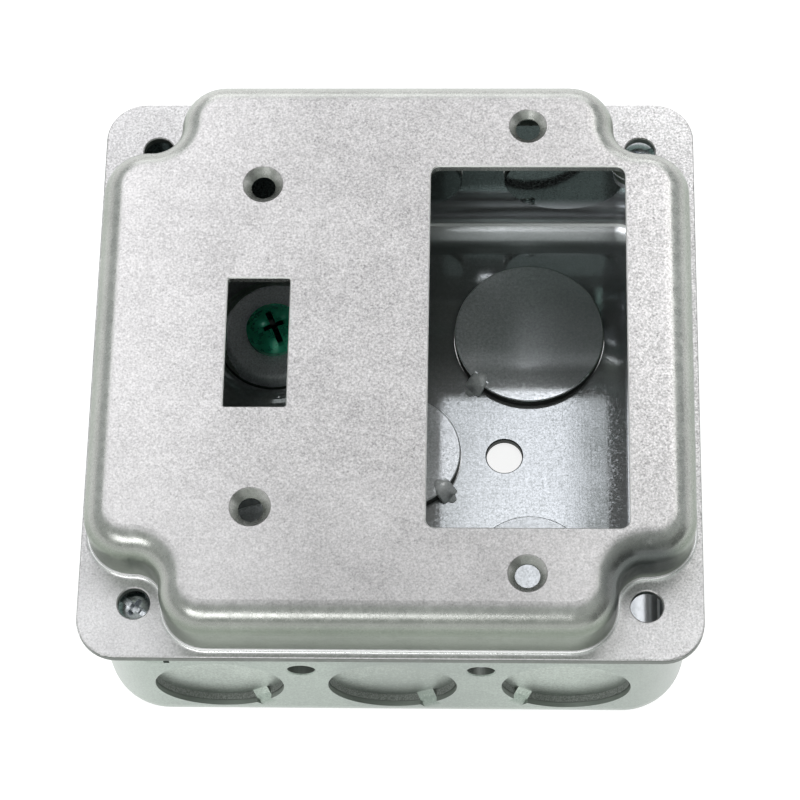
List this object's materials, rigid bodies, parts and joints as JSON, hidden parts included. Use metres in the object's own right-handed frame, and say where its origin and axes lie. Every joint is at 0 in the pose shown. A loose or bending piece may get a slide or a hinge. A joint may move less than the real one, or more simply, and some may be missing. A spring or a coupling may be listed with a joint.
{
  "type": "two-gang junction box",
  "caption": "Square drawn-steel junction box with knockouts and a raised two-gang cover for a toggle switch and a receptacle.",
  "frame": {"origin": "centre of the flat outside of the box's back", "axes": "+Z out of the back to the cover's face, +Y up the height of the switch and the receptacle, +X from the toggle gang to the receptacle gang"},
  "size_m": [0.1052, 0.1052, 0.0516],
  "materials": {
    "box_steel": "satin galvanised",
    "cover_steel": "matt galvanised",
    "screw_steel": "bright zinc",
    "green_screw": "gloss green"
  },
  "bodies": {
    "root": {"box_body": "box_steel", "raised_cover": "cover_steel", "cover_screw_front": "screw_steel", "cover_screw_rear": "screw_steel", "ground_screw": "green_screw"}
  },
  "joints": []
}
